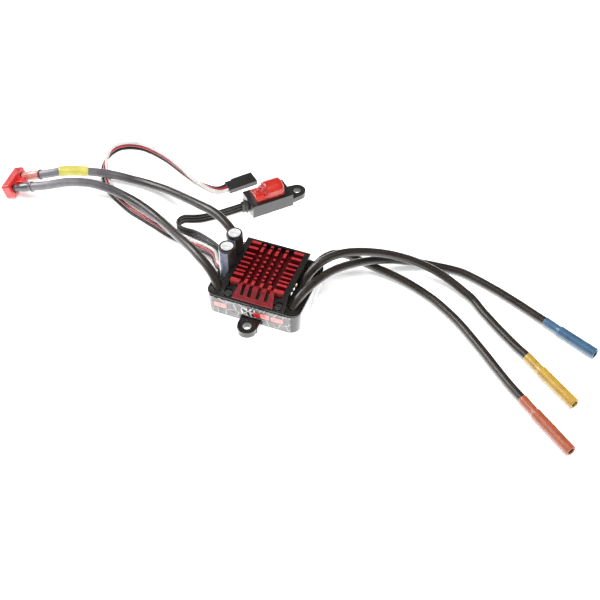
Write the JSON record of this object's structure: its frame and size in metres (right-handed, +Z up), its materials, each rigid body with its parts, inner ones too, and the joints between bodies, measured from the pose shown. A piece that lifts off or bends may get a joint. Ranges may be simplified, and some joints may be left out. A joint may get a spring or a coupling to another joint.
{
  "type": "electronic speed controller",
  "caption": "Brushless motor speed controller: black case with red finned heatsink, capacitors, battery and motor leads, receiver plug and slide switch.",
  "frame": {"origin": "under the middle of the case, on the surface that the case, leads and switch lie on", "axes": "+Z up; +Y to the back of the case, along its length over the two mounting tongues; +X towards the motor leads, -X towards the battery leads"},
  "size_m": [0.3156, 0.1206, 0.0294],
  "materials": {
    "black_plastic": "satin moulded black plastic",
    "screw_steel": "dull zinc",
    "label_film": "glossy printed film",
    "lamp_lens": "clear gloss lens",
    "black_rubber": "soft matte rubber",
    "red_aluminium": "red anodised, satin",
    "grey_pad": "soft matte silicone",
    "green_board": "lacquered glass fibre board",
    "chip_black": "moulded epoxy",
    "silver_can": "drawn aluminium, satin",
    "black_shrink": "shrunk film, semi gloss",
    "black_lead": "silicone jacket, semi gloss",
    "red_plastic": "moulded nylon, semi gloss",
    "gold_contact": "gold plated, satin",
    "pink_shrink": "shrunk film, semi gloss",
    "yellow_shrink": "shrunk film, semi gloss",
    "blue_shrink": "shrunk film, semi gloss",
    "orange_shrink": "shrunk film, semi gloss",
    "white_wire": "vinyl jacket",
    "red_wire": "vinyl jacket",
    "red_gloss_plastic": "gloss moulded plastic"
  },
  "bodies": {
    "controller": {"case_tub": "black_plastic", "top_cover": "black_plastic", "cover_screw_left": "screw_steel", "cover_screw_right": "screw_steel", "front_label": "label_film", "status_led_1": "lamp_lens", "status_led_2": "lamp_lens", "status_led_3": "lamp_lens", "signal_grommet": "black_rubber", "heatsink": "red_aluminium", "thermal_pad": "grey_pad", "power_board": "green_board", "control_board": "green_board", "microcontroller": "chip_black", "board_header": "chip_black", "mosfet_1": "chip_black", "mosfet_2": "chip_black", "mosfet_3": "chip_black", "mosfet_4": "chip_black", "mosfet_5": "chip_black", "mosfet_6": "chip_black", "capacitor_front": "silver_can", "capacitor_rear": "silver_can", "capacitor_sleeve_front": "black_shrink", "capacitor_sleeve_rear": "black_shrink", "battery_lead_positive": "black_lead", "battery_lead_negative": "black_lead", "battery_plug_body": "red_plastic", "plug_blade_positive": "gold_contact", "plug_blade_negative": "gold_contact", "plug_sleeve_positive": "pink_shrink", "plug_sleeve_negative": "black_shrink", "wire_marker_sleeve": "yellow_shrink", "motor_lead_front": "black_lead", "motor_lead_middle": "black_lead", "motor_lead_rear": "black_lead", "bullet_sleeve_blue": "blue_shrink", "bullet_sleeve_yellow": "yellow_shrink", "bullet_sleeve_orange": "orange_shrink", "bullet_socket_blue": "gold_contact", "bullet_socket_yellow": "gold_contact", "bullet_socket_orange": "gold_contact", "receiver_wire_white": "white_wire", "receiver_wire_red": "red_wire", "receiver_wire_black": "black_lead", "servo_plug_housing": "black_plastic", "servo_contact_ground": "gold_contact", "servo_contact_power": "gold_contact", "servo_contact_signal": "gold_contact", "switch_wire_top": "black_lead", "switch_wire_middle": "black_lead", "switch_wire_bottom": "black_lead", "switch_housing": "black_plastic", "switch_base": "black_plastic", "switch_grommet": "black_rubber"},
    "switch_slider": {"switch_cap": "red_gloss_plastic", "switch_wiper": "gold_contact"}
  },
  "joints": [
    {"name": "switch_slide", "type": "slide", "parent": "controller", "child": "switch_slider", "axis": [0.682, 0.7314, 0], "range_m": [-0.003, 0]}
  ]
}
